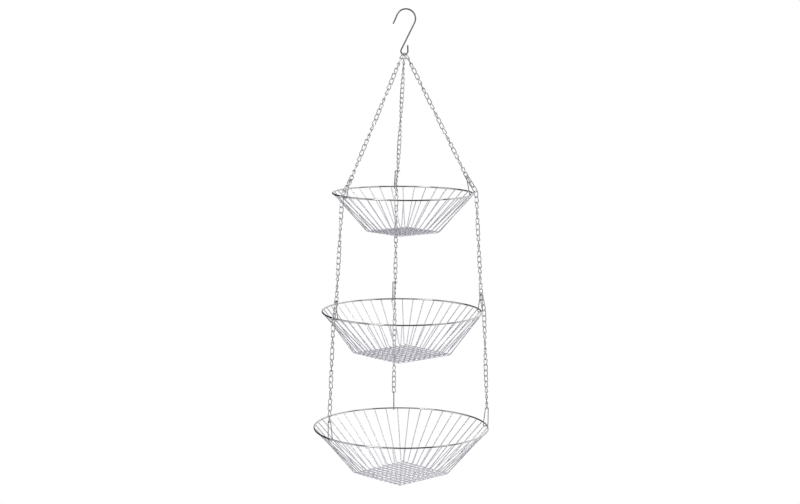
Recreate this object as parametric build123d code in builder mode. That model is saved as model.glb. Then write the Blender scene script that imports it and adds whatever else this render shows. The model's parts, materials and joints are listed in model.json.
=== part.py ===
"""Three-tier hanging fruit basket of chromed steel wire.

Three round-rimmed wire baskets hang one under another on three chains. The chains start
together in the lower bend of an S-hook. Units are millimetres, +Z is up and +Y is away from
the side that the basket is seen from. The origin is the seat on the inside of the S-hook's
upper bend, straight above its lower bend.
"""
import os
from math import asin, atan2, cos, degrees, radians, sin, sqrt, tan

from build123d import *

# Wire sizes
hook_wire = 2.4
rim_wire = 2.6
basket_wire = 1.5
clip_wire = 1.5
link_wire = 1.3

# Clearances
weld_gap = 0.05
link_play = 0.5
seat_play = 0.1
pass_plays = {"top": 2.5, "middle": 0.8}

# S-hook
upper_bend_radius = 14.8
lower_bend_radius = 5.4
bend_spacing = 50.0
upper_bend_offset = 2.0
upper_bend_angle = 183.0
upper_end_length = 15.5
lower_bend_angle = 208.0
lower_end_length = 9.3
end_round_share = 0.85

# Chain links
link_pitch = 8.75
link_width = 6.5
link_twist_angle = 30.0
link_bend_radius = 2.3
side_seat_angle = 28.0

# Rim clips: the ends go through the chain side by side, at the bottom tier towards each other
clip_height = 28.0
clip_foot_width = 8.0
clip_end_spacing = 1.7
clip_end_reach = 3.4
closed_clip_spacing = 4.5
closed_clip_gap = 0.8
clip_top_bend = 1.3

# Heights between the tiers, from the S-hook's lower bend and from rim to rim
hook_to_top_rim = 215.4
top_to_middle_rim = 187.7
middle_to_bottom_rim = 186.6

# Each tier: the rim's outside diameter, the width and depth of the flat base, the wires each
# way, the turn of the wires about the axis, and the lean of the clips over the rim
tiers = {
    "top": dict(rim=222.8, base=82.0, depth=61.5, wires=9, turn_angle=-4.8, lean_angle=-20.5),
    "middle": dict(rim=254.6, base=110.5, depth=68.6, wires=11, turn_angle=-4.2, lean_angle=0.0),
    "bottom": dict(rim=279.4, base=107.0, depth=76.0, wires=11, turn_angle=-1.5, lean_angle=0.0),
}
wire_bend_radius = 7.0

# The compass angle of each chain, where its first link sits on the S-hook's lower bend, and the
# side of the upper clips that it hangs on
chain_angles = {"left": 216.5, "right": 8.5, "back": 95.3}
seat_angles = {"left": -side_seat_angle, "right": side_seat_angle, "back": 0.0}
clip_side_signs = {"left": 1, "right": 1, "back": -1}

# The full half turns that each long run of links takes on its way down to a tier
half_turn_counts = {
    "top": {"left": 3, "right": 4, "back": 2},
    "middle": {"left": 2, "right": 3, "back": 3},
    "bottom": {"left": 3, "right": 1, "back": 1},
}
quarter_angle = 90.0

# Places worked out from the sizes above
up = Vector(0, 0, 1)
seat_drop = sqrt((upper_bend_radius - hook_wire / 2) ** 2 - upper_bend_offset**2)
upper_centre = Vector(upper_bend_offset, 0, -seat_drop)
lower_centre = Vector(0, 0, -seat_drop - bend_spacing)
rim_z = {"top": lower_centre.Z - lower_bend_radius - hook_to_top_rim}
rim_z["middle"] = rim_z["top"] - top_to_middle_rim
rim_z["bottom"] = rim_z["middle"] - middle_to_bottom_rim
half_contact = (link_wire + link_play) / 2
clip_side_step = (link_width + clip_wire) / 2


def radial(angle):
    """Unit vector that points outwards at a compass angle."""
    return Vector(cos(radians(angle)), sin(radians(angle)), 0)


def square_to(vector, axis):
    """The part of a vector that is square to an axis, at unit length."""
    return (vector - axis * vector.dot(axis)).normalized()


def swept_wire(points, diameter, bends):
    """A round wire along straight runs with round bends between them."""
    with BuildPart() as piece:
        with BuildLine() as route:
            FilletPolyline(*points, radius=bends)
        with BuildSketch(Plane(origin=route.line @ 0, z_dir=route.line % 0)):
            Circle(diameter / 2)
        sweep()
    return piece.part


def save(shape, name):
    """Labels a finished piece and writes it."""
    shape.label = name
    export_step(shape, f"parts/{name}.step")


# S-hook

def make_hook():
    """Two opposite bends in one plane, joined by a slanted shank that is tangent to both."""
    reach = upper_centre - lower_centre
    crossing = asin((upper_bend_radius + lower_bend_radius) / reach.length)
    slope = degrees(atan2(reach.Z, reach.X) - crossing)
    upper_at = (upper_centre.X, upper_centre.Z)
    lower_at = (lower_centre.X, lower_centre.Z)
    upper_start = slope - quarter_angle
    lower_start = slope + quarter_angle
    with BuildPart() as hook:
        with BuildLine(Plane.XZ) as route:
            upper = CenterArc(upper_at, upper_bend_radius, upper_start, upper_bend_angle)
            lower = CenterArc(lower_at, lower_bend_radius, lower_start, lower_bend_angle)
            Line(upper @ 0, lower @ 0)
            Line(upper @ 1, (upper @ 1) + (upper % 1) * upper_end_length)
            Line(lower @ 1, (lower @ 1) + (lower % 1) * lower_end_length)
        with BuildSketch(Plane(origin=route.line @ 0, z_dir=route.line % 0)):
            Circle(hook_wire / 2)
        sweep()
        ends = hook.faces().filter_by(GeomType.PLANE)
        fillet(ends.edges(), hook_wire / 2 * end_round_share)
    return hook.part


# Chains

def make_link(pitch):
    """A twisted oval link along Z, centred on the origin, with its width along X."""
    end_z = (pitch + link_play + link_wire) / 2
    half_width = (link_width - link_wire) / 2
    twist_shift = half_width * tan(radians(link_twist_angle))
    corners = [
        (0, 0, end_z),
        (-half_width, twist_shift, end_z),
        (-half_width, -twist_shift, -end_z),
        (0, 0, -end_z),
    ]
    with BuildPart() as link:
        with BuildLine() as route:
            FilletPolyline(*corners, radius=link_bend_radius)
        with BuildSketch(Plane(origin=route.line @ 0, z_dir=route.line % 0)):
            Circle(link_wire / 2)
        sweep()
        add(link.part, rotation=(0, 0, 180))
    return link.part


class Run:
    """A straight stretch of equal links from one contact point down to another.

    The links turn backwards from the first width to the last, after some full half turns.
    """

    def __init__(self, start, finish, first_width, last_width, full_half_turns=0):
        self.start = start
        self.count = max(1, round((finish - start).length / link_pitch))
        self.step = (finish - start) / self.count
        self.pitch = self.step.length
        self.axis = -self.step.normalized()
        self.first_width = square_to(first_width, self.axis)
        last = square_to(last_width, self.axis)
        side = self.axis.cross(self.first_width)
        turn = round(degrees(atan2(last.dot(side), last.dot(self.first_width))), 6) % 180
        self.turn = turn - 180 * (full_half_turns + (turn > 0))

    def joint(self, number):
        """The contact point under so many links."""
        return self.start + self.step * number

    def plane(self, number):
        """The place of one link, counted from nought."""
        share = number / (self.count - 1) if self.count > 1 else 0.0
        width = self.first_width.rotate(Axis((0, 0, 0), self.axis), self.turn * share)
        centre = self.start + self.step * (number + 0.5)
        return Plane(origin=centre, x_dir=width, z_dir=self.axis)

    def links(self, first, last):
        """The links from one number up to, but not including, another."""
        link = make_link(self.pitch)
        placed = [self.plane(number).location * link for number in range(first, last)]
        return Compound(children=placed) if len(placed) > 1 else placed[0]


def side_step(tier, chain):
    """How far along the rim a chain hangs from its clip."""
    return 0.0 if tier == "bottom" else clip_side_step * clip_side_signs[chain]


def clip_frame(tier, chain):
    """A clip's own frame, at the rim's centreline: X outwards, Y along the rim."""
    radius = (tiers[tier]["rim"] - rim_wire) / 2
    angle = chain_angles[chain] - degrees(asin(side_step(tier, chain) / radius))
    outwards = radial(angle)
    along_rim = Axis((0, 0, 0), up.cross(outwards))
    lean = tiers[tier]["lean_angle"]
    return Plane(origin=outwards * radius + up * rim_z[tier],
                 x_dir=outwards.rotate(along_rim, lean), z_dir=up.rotate(along_rim, lean))


def clip_eye(tier, chain):
    """Where a clip's ends pass through the chain."""
    frame = clip_frame(tier, chain)
    return frame.from_local_coords(Vector(0, side_step(tier, chain), clip_height))


def rim_pass(tier, chain):
    """Where a chain passes outside a rim, level with the rim's centreline."""
    radius = (tiers[tier]["rim"] + link_width) / 2 + pass_plays[tier]
    return radial(chain_angles[chain]) * radius + up * rim_z[tier]


def hook_contact(chain, aim):
    """The top contact point and width of a chain's first link, which hangs on the S-hook."""
    seat = radians(seat_angles[chain])
    wire_centre = lower_centre + Vector(sin(seat), 0, -cos(seat)) * lower_bend_radius
    wire_way = Vector(cos(seat), 0, sin(seat))
    down = (aim - wire_centre).normalized()
    top_wire = wire_centre - down * ((hook_wire + link_wire) / 2 + seat_play)
    across = wire_way.cross(down)
    width = across.rotate(Axis((0, 0, 0), -down), link_twist_angle)
    return top_wire + down * half_contact, width


def long_run(start, tier, chain, first_width):
    """The links from a start down to the one that a tier's clip holds."""
    eye = clip_eye(tier, chain)
    down = (eye - start).normalized()
    rest = (link_wire + clip_wire) / 2 + link_play
    outwards = radial(chain_angles[chain])
    turns = half_turn_counts[tier][chain]
    if tier == "bottom":
        last_width = outwards.rotate(Axis.Z, quarter_angle - link_twist_angle)
        return Run(start, eye + down * (rest - half_contact), first_width, last_width, turns)
    return Run(start, eye + down * (rest + half_contact), first_width, outwards, turns)


def chain_layout(chain):
    """All the straight runs of one chain, from the S-hook to the bottom basket."""
    outwards = radial(chain_angles[chain])
    start, width = hook_contact(chain, clip_eye("top", chain))
    runs = {"top": long_run(start, "top", chain, width)}
    for tier, tier_below in (("top", "middle"), ("middle", "bottom")):
        start = runs[tier].joint(runs[tier].count)
        way = rim_pass(tier, chain) - start
        length = round(way.length / link_pitch) * link_pitch
        past_rim = Run(start, start + way.normalized() * length, outwards, outwards)
        runs[f"{tier}_rim"] = past_rim
        start = past_rim.joint(past_rim.count)
        runs[tier_below] = long_run(start, tier_below, chain, outwards)
    return runs


def save_chain(chain):
    """Writes one chain as the groups of links that stay in line with each other."""
    runs = chain_layout(chain)
    top = runs["top"]
    save(top.links(0, 1), f"hook_link_{chain}")
    save(top.links(1, top.count - 1), f"top_chain_{chain}")
    save(top.links(top.count - 1, top.count), f"top_clip_link_{chain}")
    for tier in ("top", "middle"):
        past_rim = runs[f"{tier}_rim"]
        save(past_rim.links(0, past_rim.count), f"{tier}_rim_links_{chain}")
    for tier in ("middle", "bottom"):
        run = runs[tier]
        save(run.links(0, 1), f"{tier}_first_link_{chain}")
        save(run.links(1, run.count - 2), f"{tier}_chain_{chain}")
        save(run.links(run.count - 2, run.count - 1), f"{tier}_last_link_{chain}")
        save(run.links(run.count - 1, run.count), f"{tier}_clip_link_{chain}")


# Rim clips

def make_clip(tier, chain):
    """A hairpin under the rim, with both ends bent through a chain link."""
    hug = (rim_wire + clip_wire) / 2 + seat_play
    if tier == "bottom":
        top_x = closed_clip_spacing / 2
        end_x = closed_clip_gap / 2
        reach = 0
    else:
        top_x = clip_end_spacing / 2
        end_x = top_x
        reach = side_step(tier, chain) + clip_end_reach * clip_side_signs[chain]
    foot_share = hug / (clip_height + hug)
    foot_x = (hug - top_x * foot_share) / (1 - foot_share)
    corners = [
        (end_x, reach, clip_height),
        (top_x, 0, clip_height),
        (foot_x, 0, -hug),
        (foot_x - clip_foot_width, 0, -hug),
        (-top_x, 0, clip_height),
        (-end_x, reach, clip_height),
    ]
    frame = clip_frame(tier, chain)
    points = [frame.from_local_coords(Vector(*corner)) for corner in corners]
    return swept_wire(points, clip_wire, [clip_top_bend, hug, hug, clip_top_bend])


# Baskets

def make_rim(tier):
    """The ring that a basket's wires are welded under."""
    radius = (tiers[tier]["rim"] - rim_wire) / 2
    with BuildPart() as ring:
        with BuildSketch(Plane.XZ):
            with Locations((radius, rim_z[tier])):
                Circle(rim_wire / 2)
        revolve(axis=Axis.Z)
    return ring.part


def basket_wire_points(tier, number, layer_z):
    """The corners of one wire that runs along X: rim, base edge, base edge, rim."""
    size = tiers[tier]
    radius = (size["rim"] - rim_wire) / 2
    place = number - (size["wires"] - 1) / 2
    spread = radians(place * quarter_angle / size["wires"])
    rim_point = Vector(radius * cos(spread), radius * sin(spread), rim_z[tier])
    along = size["base"] / 2
    steepness = atan2(size["depth"], radius - along)
    edge_inset = wire_bend_radius * tan(steepness / 2)
    across = place * (size["base"] - 2 * edge_inset) / (size["wires"] - 1)
    foot = Vector(along, across, rim_z[tier] - size["depth"] + layer_z)
    way = (rim_point - foot).normalized()
    end = rim_point - way * (rim_wire / 2 + weld_gap)
    half = [end, foot]
    other_half = [Vector(-point.X, point.Y, point.Z) for point in reversed(half)]
    return half + other_half


def make_wires(tier, quarter_turn, layer_z):
    """All the wires of a basket that run one way."""
    angle = tiers[tier]["turn_angle"] + quarter_angle / 2 + quarter_turn
    with BuildPart() as wires:
        for number in range(tiers[tier]["wires"]):
            corners = basket_wire_points(tier, number, layer_z)
            with BuildLine() as route:
                FilletPolyline(*[point.rotate(Axis.Z, angle) for point in corners],
                               radius=wire_bend_radius)
            with BuildSketch(Plane(origin=route.line @ 0, z_dir=route.line % 0)):
                Circle(basket_wire / 2)
            sweep()
    return wires.part


os.makedirs("parts", exist_ok=True)
save(make_hook(), "s_hook")
for chain_name in chain_angles:
    save_chain(chain_name)
    for tier_name in tiers:
        save(make_clip(tier_name, chain_name), f"{tier_name}_clip_{chain_name}")
for tier_name in tiers:
    save(make_rim(tier_name), f"{tier_name}_rim")
    save(make_wires(tier_name, 0, 0), f"{tier_name}_wires_lower")
    upper_wires = make_wires(tier_name, quarter_angle, basket_wire + weld_gap)
    save(upper_wires, f"{tier_name}_wires_upper")
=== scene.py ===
"""Looks of the hanging fruit basket: chrome wire, link chain and S-hook, before a plain white studio."""
import json
import math

import bpy
from mathutils import Matrix, Vector

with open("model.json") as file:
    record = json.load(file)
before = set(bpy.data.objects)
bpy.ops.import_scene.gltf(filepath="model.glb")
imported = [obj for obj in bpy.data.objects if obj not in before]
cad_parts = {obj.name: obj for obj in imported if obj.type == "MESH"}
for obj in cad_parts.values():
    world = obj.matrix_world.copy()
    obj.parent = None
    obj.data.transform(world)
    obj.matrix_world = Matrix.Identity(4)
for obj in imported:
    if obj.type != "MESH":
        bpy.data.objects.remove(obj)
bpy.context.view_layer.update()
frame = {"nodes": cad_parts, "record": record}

# Camera, fitted to the photograph: metres, degrees and pixels
FRAME_WIDTH = 800
FOCAL_PIXELS = 1760.0
SENSOR_WIDTH = 36.0
CAMERA_X = -0.0043
CAMERA_DISTANCE = 2.741
CAMERA_Z = -0.0091
CAMERA_PITCH = 7.649
CAMERA_ROLL = 0.453
CLIP_END = 60

# Studio, in metres
FLOOR_Z = -2.30
ROOM_HALF = 9
BACK_Y = 5.0
WALL_TOP = 6
# The glowing dark panels that paint dark reflections into the chrome: their low and high heights and
# their near and far reach
REFLECTION_GLOW_LOW_Z = FLOOR_Z + 0.05
REFLECTION_GLOW_HIGH_Z = 2.4
REFLECTION_GLOW_NEAR = 1.1
REFLECTION_GLOW_FAR = 3.6
WHITE = (1.0, 1.0, 1.0)
FLOOR_COLOUR = (0.82, 0.82, 0.82)
ROOM_COLOUR = (0.78, 0.79, 0.80)
ROOM_STRENGTH = 0.6

# Painted reflections: glowing dark panels round the object that only the chrome's reflections see,
# painting its dark streaks: the compass angle, half the width in degrees and the grey level.
# They stand right of the camera, left of it, behind the object to the left, and to the right.
PAINTED_REFLECTION_PARTS = {
    "front_dark_reflection": (292, 34, 0.01),
    "front_grey_reflection": (234, 28, 0.30),
    "back_left_dark_reflection": (129, 34, 0.03),
    "right_dark_reflection": (-23, 15, 0.04),
}

# Lamps, turned to the object's middle: place and watts
LAMP_TARGET = (0, 0, -0.37)
LAMP_SIZE = 1.2
LAMPS = {
    "key": ((-1.8, -2.2, 1.4), 32),
    "fill": ((2.3, -1.6, 0.6), 14),
}


def new_material(name):
    """An empty node material with its output."""
    material = bpy.data.materials.new(name)
    material.use_nodes = True
    tree = material.node_tree
    tree.nodes.clear()
    output = tree.nodes.new("ShaderNodeOutputMaterial")
    return material, tree, output


def ramp(tree, source, stops):
    """A colour ramp fed by a value, with stops of (position, grey or colour)."""
    made = tree.nodes.new("ShaderNodeValToRGB")
    band = made.color_ramp
    while len(band.elements) < len(stops):
        band.elements.new(1.0)
    for element, (position, colour) in zip(band.elements, stops):
        element.position = position
        grey = (colour,) * 3 if isinstance(colour, float) else colour
        element.color = (*grey, 1.0)
    tree.links.new(source, made.inputs["Fac"])
    return made.outputs["Color"]


def noise(tree, vector, scale, detail, roughness=0.55):
    """A noise texture's value at a scale per metre."""
    made = tree.nodes.new("ShaderNodeTexNoise")
    made.inputs["Scale"].default_value = scale
    made.inputs["Detail"].default_value = detail
    made.inputs["Roughness"].default_value = roughness
    tree.links.new(vector, made.inputs["Vector"])
    return made.outputs["Fac"]


def combine(tree, operation, first, second):
    """The sum, or the larger, of two values."""
    made = tree.nodes.new("ShaderNodeMath")
    made.operation = operation
    tree.links.new(first, made.inputs[0])
    tree.links.new(second, made.inputs[1])
    return made.outputs["Value"]


# Chrome, the same for all wire: noise scales per metre, ramp positions and the pits' depth in metres
PATCH_SCALE, GRAIN_SCALE, HAZE_SCALE = 38.0, 900.0, 120.0
PATCH_STOPS = (0.32, 0.55, 0.78)
BRIGHT_SHARE = 1.04
SPECK_COLOUR = (0.78, 0.76, 0.73)
SPECK_STOPS = (0.30, 0.42)
HAZE_STOPS = ((0.35, 1.0), (0.60, 1.3), (0.80, 1.8))
PIT_DEPTH = 0.00006


def chrome_colour(tree, place, grain, tint_with_painted_light, film):
    """The plate's base colour, which holds painted light and shade, darker under its film and in fine
    specks.
    """
    darker = tuple(c * (1.0 - film) for c in tint_with_painted_light)
    brighter = tuple(min(1.0, c * BRIGHT_SHARE) for c in tint_with_painted_light)
    patches = noise(tree, place, PATCH_SCALE, 3.0)
    plate = ramp(tree, patches, list(zip(PATCH_STOPS, (darker, tint_with_painted_light, brighter))))
    specks = ramp(tree, grain, list(zip(SPECK_STOPS, (SPECK_COLOUR, WHITE))))
    mixed = tree.nodes.new("ShaderNodeMixRGB")
    mixed.blend_type = "MULTIPLY"
    mixed.inputs["Fac"].default_value = 1.0
    tree.links.new(plate, mixed.inputs["Color1"])
    tree.links.new(specks, mixed.inputs["Color2"])
    return mixed.outputs["Color"]


def chrome(name, tint_with_painted_light, rough, film, draw_lines, pits):
    """Plated wire: clear bright spots, a thin hazy film in patches, draw lines and fine pits."""
    material, tree, output = new_material(name)
    shader = tree.nodes.new("ShaderNodeBsdfPrincipled")
    shader.inputs["Metallic"].default_value = 1.0
    tree.links.new(shader.outputs["BSDF"], output.inputs["Surface"])
    place = tree.nodes.new("ShaderNodeTexCoord").outputs["Object"]
    grain = noise(tree, place, GRAIN_SCALE, 5.0, 0.65)
    tree.links.new(chrome_colour(tree, place, grain, tint_with_painted_light, film), shader.inputs["Base Color"])

    haze = noise(tree, place, HAZE_SCALE, 4.0)
    shine = ramp(tree, haze, [(position, rough * share) for position, share in HAZE_STOPS])
    tree.links.new(shine, shader.inputs["Roughness"])

    lines = noise(tree, place, draw_lines, 2.0, 0.5)
    bump = tree.nodes.new("ShaderNodeBump")
    bump.inputs["Strength"].default_value = pits
    bump.inputs["Distance"].default_value = PIT_DEPTH
    tree.links.new(combine(tree, "ADD", lines, grain), bump.inputs["Height"])
    tree.links.new(bump.outputs["Normal"], shader.inputs["Normal"])
    return material


# Each slot's name, base colour with painted light and shade, roughness, film, draw lines per metre and
# strength of the pits.
# The plating is one chrome throughout: the hook's very dark base colour is painted shade, the wire's
# bright bluish one is painted light, and the rim, chain and clip, darker than the wire, carry painted
# shade.
MATERIALS = {
    "hook": chrome("hook_chrome_painted_shade", (0.30, 0.30, 0.31), 0.30, 0.12, 1500.0, 0.04),
    "rim": chrome("rim_chrome_painted_shade", (0.56, 0.56, 0.57), 0.06, 0.12, 1600.0, 0.04),
    "basket_wire": chrome("wire_chrome_painted_light", (0.86, 0.85, 0.92), 0.34, 0.08, 900.0, 0.02),
    "chain": chrome("chain_chrome_painted_shade", (0.66, 0.66, 0.68), 0.20, 0.18, 2600.0, 0.10),
    "clip": chrome("clip_chrome_painted_shade", (0.64, 0.64, 0.66), 0.18, 0.16, 2200.0, 0.06),
}

slots = {entry["node"]: entry["material_slot"] for entry in frame["record"]["subparts"]}
for name, piece in frame["nodes"].items():
    piece.data.materials.clear()
    piece.data.materials.append(MATERIALS[slots[name]])
    piece.data.shade_smooth()


def seen_share(tree):
    """One where the camera, a reflection or a clear body sees the surface, else nought."""
    path = tree.nodes.new("ShaderNodeLightPath").outputs
    seen = combine(tree, "MAXIMUM", path["Is Camera Ray"], path["Is Glossy Ray"])
    return combine(tree, "MAXIMUM", seen, path["Is Transmission Ray"])


def mix_by_view(tree, lit, seen, output):
    """Shows one shader to the light and the other to what looks at the surface."""
    mix = tree.nodes.new("ShaderNodeMixShader")
    tree.links.new(seen_share(tree), mix.inputs["Fac"])
    tree.links.new(lit, mix.inputs[1])
    tree.links.new(seen, mix.inputs[2])
    tree.links.new(mix.outputs["Shader"], output.inputs["Surface"])


def seen_white(name, lit_colour):
    """White wherever the camera or a reflection sees it, and plain paint to the light."""
    material, tree, output = new_material(name)
    paint = tree.nodes.new("ShaderNodeBsdfDiffuse")
    paint.inputs["Color"].default_value = (*lit_colour, 1.0)
    glow = tree.nodes.new("ShaderNodeEmission")
    mix_by_view(tree, paint.outputs["BSDF"], glow.outputs["Emission"], output)
    return material


def painted_reflection_glow(name, level):
    """A glowing dark material of one grey level, a little bluish: painted reflection for panels that
    only the chrome shows.
    """
    material, tree, output = new_material(name)
    glow = tree.nodes.new("ShaderNodeEmission")
    glow.inputs["Color"].default_value = (level, level, level * 1.03, 1.0)
    tree.links.new(glow.outputs["Emission"], output.inputs["Surface"])
    return material


def panel(name, corners, material):
    """A flat four-cornered stage panel."""
    mesh = bpy.data.meshes.new(name)
    mesh.from_pydata(corners, [], [(0, 1, 2, 3)])
    made = bpy.data.objects.new(name, mesh)
    made.data.materials.append(material)
    bpy.context.scene.collection.objects.link(made)
    return made


def reflected_panel(name, corners, material):
    """A stage panel that only reflections show."""
    made = panel(name, corners, material)
    made.visible_camera = False
    made.visible_diffuse = False
    made.visible_shadow = False
    made.visible_transmission = False


def round_places(angles, radius, z):
    """Places at some compass angles on a level circle."""
    turns = [math.radians(angle) for angle in angles]
    return [(radius * math.cos(turn), radius * math.sin(turn), z) for turn in turns]


def painted_reflection_sector(name, middle_angle, half_angle, level):
    """A painted dark reflection: a glowing wall and wedges at floor and ceiling height before it, which
    only reflections show.
    """
    sides = (middle_angle - half_angle, middle_angle + half_angle)
    back = tuple(reversed(sides))
    paint = painted_reflection_glow(name + "_paint", level)
    wall = round_places(sides, REFLECTION_GLOW_FAR, REFLECTION_GLOW_LOW_Z) + round_places(back, REFLECTION_GLOW_FAR, REFLECTION_GLOW_HIGH_Z)
    reflected_panel(name + "_wall", wall, paint)
    for part, z in (("floor", REFLECTION_GLOW_LOW_Z), ("ceiling", REFLECTION_GLOW_HIGH_Z)):
        wedge = round_places(sides, REFLECTION_GLOW_NEAR, z) + round_places(back, REFLECTION_GLOW_FAR, z)
        reflected_panel(f"{name}_{part}", wedge, paint)


def build_room():
    """The pale floor and backdrop, and the glowing dark panels that paint dark reflections into the
    chrome.
    """
    paint = seen_white("floor_paint", FLOOR_COLOUR)
    front_edge = [(-ROOM_HALF, -ROOM_HALF, FLOOR_Z), (ROOM_HALF, -ROOM_HALF, FLOOR_Z)]
    back_edge = [(-ROOM_HALF, BACK_Y, FLOOR_Z), (ROOM_HALF, BACK_Y, FLOOR_Z)]
    top_edge = [(-ROOM_HALF, BACK_Y, WALL_TOP), (ROOM_HALF, BACK_Y, WALL_TOP)]
    panel("floor", front_edge + back_edge[::-1], paint)
    panel("backdrop", back_edge + top_edge[::-1], paint)
    for name, (middle_angle, half_angle, level) in PAINTED_REFLECTION_PARTS.items():
        painted_reflection_sector(name, middle_angle, half_angle, level)


def background(tree, colour, strength):
    """A world shader of one colour."""
    made = tree.nodes.new("ShaderNodeBackground")
    made.inputs["Color"].default_value = (*colour, 1.0)
    made.inputs["Strength"].default_value = strength
    return made.outputs["Background"]


def build_world():
    """A soft grey room to the light, white to whatever looks at it."""
    world = bpy.data.worlds.new("studio")
    bpy.context.scene.world = world
    world.use_nodes = True
    tree = world.node_tree
    tree.nodes.clear()
    room = background(tree, ROOM_COLOUR, ROOM_STRENGTH)
    white = background(tree, WHITE, 1.0)
    mix_by_view(tree, room, white, tree.nodes.new("ShaderNodeOutputWorld"))


def soft_light(name, place, power):
    """A square area lamp turned to the object."""
    lamp = bpy.data.lights.new(name, "AREA")
    lamp.shape = "SQUARE"
    lamp.size = LAMP_SIZE
    lamp.energy = power
    made = bpy.data.objects.new(name, lamp)
    made.location = place
    made.rotation_euler = (Vector(LAMP_TARGET) - Vector(place)).to_track_quat("-Z", "Y").to_euler()
    bpy.context.scene.collection.objects.link(made)


def build_camera():
    """The camera at the photograph's place: pitched down and rolled a little."""
    data = bpy.data.cameras.new("camera")
    camera = bpy.data.objects.new("camera", data)
    bpy.context.scene.collection.objects.link(camera)
    camera.location = (CAMERA_X, -CAMERA_DISTANCE, CAMERA_Z)
    pitch = Matrix.Rotation(math.radians(90 - CAMERA_PITCH), 3, "X")
    roll = Matrix.Rotation(math.radians(CAMERA_ROLL), 3, "Z")
    camera.rotation_euler = (pitch @ roll).to_euler()
    data.sensor_width = SENSOR_WIDTH
    data.lens = SENSOR_WIDTH * FOCAL_PIXELS / FRAME_WIDTH
    data.clip_end = CLIP_END
    bpy.context.scene.camera = camera


build_room()
build_world()
for name, (place, power) in LAMPS.items():
    soft_light(name, place, power)
build_camera()
bpy.context.scene.view_settings.view_transform = "Standard"
